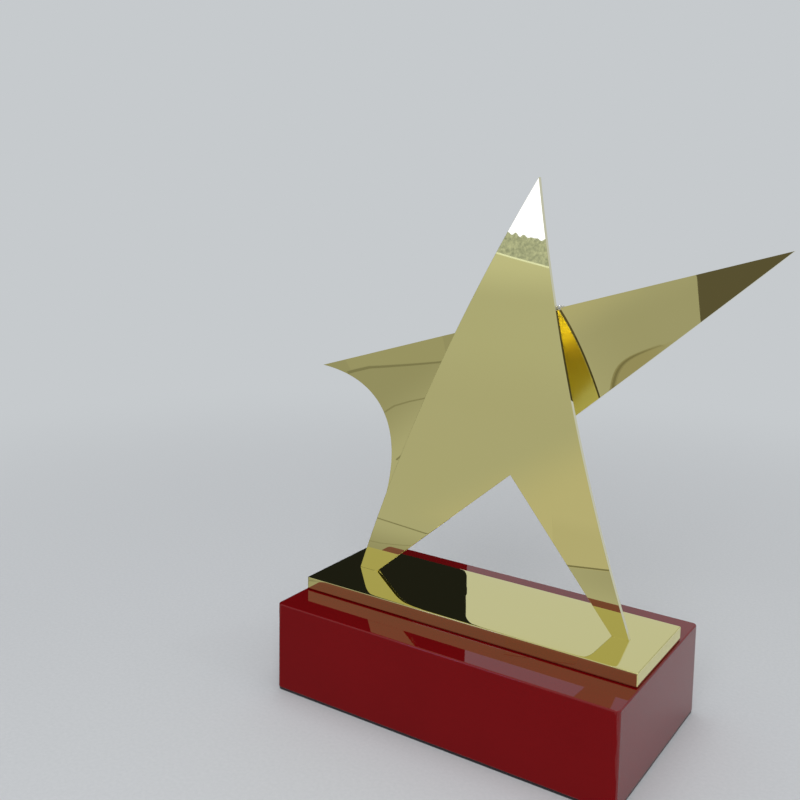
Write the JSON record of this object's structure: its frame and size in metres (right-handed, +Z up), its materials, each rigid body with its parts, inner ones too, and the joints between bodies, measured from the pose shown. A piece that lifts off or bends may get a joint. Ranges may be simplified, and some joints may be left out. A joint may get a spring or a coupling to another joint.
{
  "type": "star trophy",
  "caption": "Desk award: a mirror-polished gold sheet star with a tall spike, legs and swept arms, standing on a gold plate and a glossy red lacquered block.",
  "frame": {"origin": "middle of the felt's underside, on the surface that the trophy stands on", "axes": "+Z up towards the star's tip, +X to the right arm, the star faces -Y"},
  "size_m": [0.2109, 0.09, 0.23],
  "materials": {
    "lacquer": "red piano lacquer over fibreboard, high gloss",
    "felt": "pressed wool felt",
    "gold": "mirror polished, pale gold",
    "solder": "dull tin solder",
    "zinc": "bright zinc plate"
  },
  "bodies": {
    "root": {"base_block": "lacquer", "felt_pad": "felt", "base_plate": "gold", "star_front": "gold", "star_arms": "gold", "arm_seam": "solder", "foot_seams": "solder", "plate_screws": "zinc", "screw_washers": "zinc"}
  },
  "joints": []
}
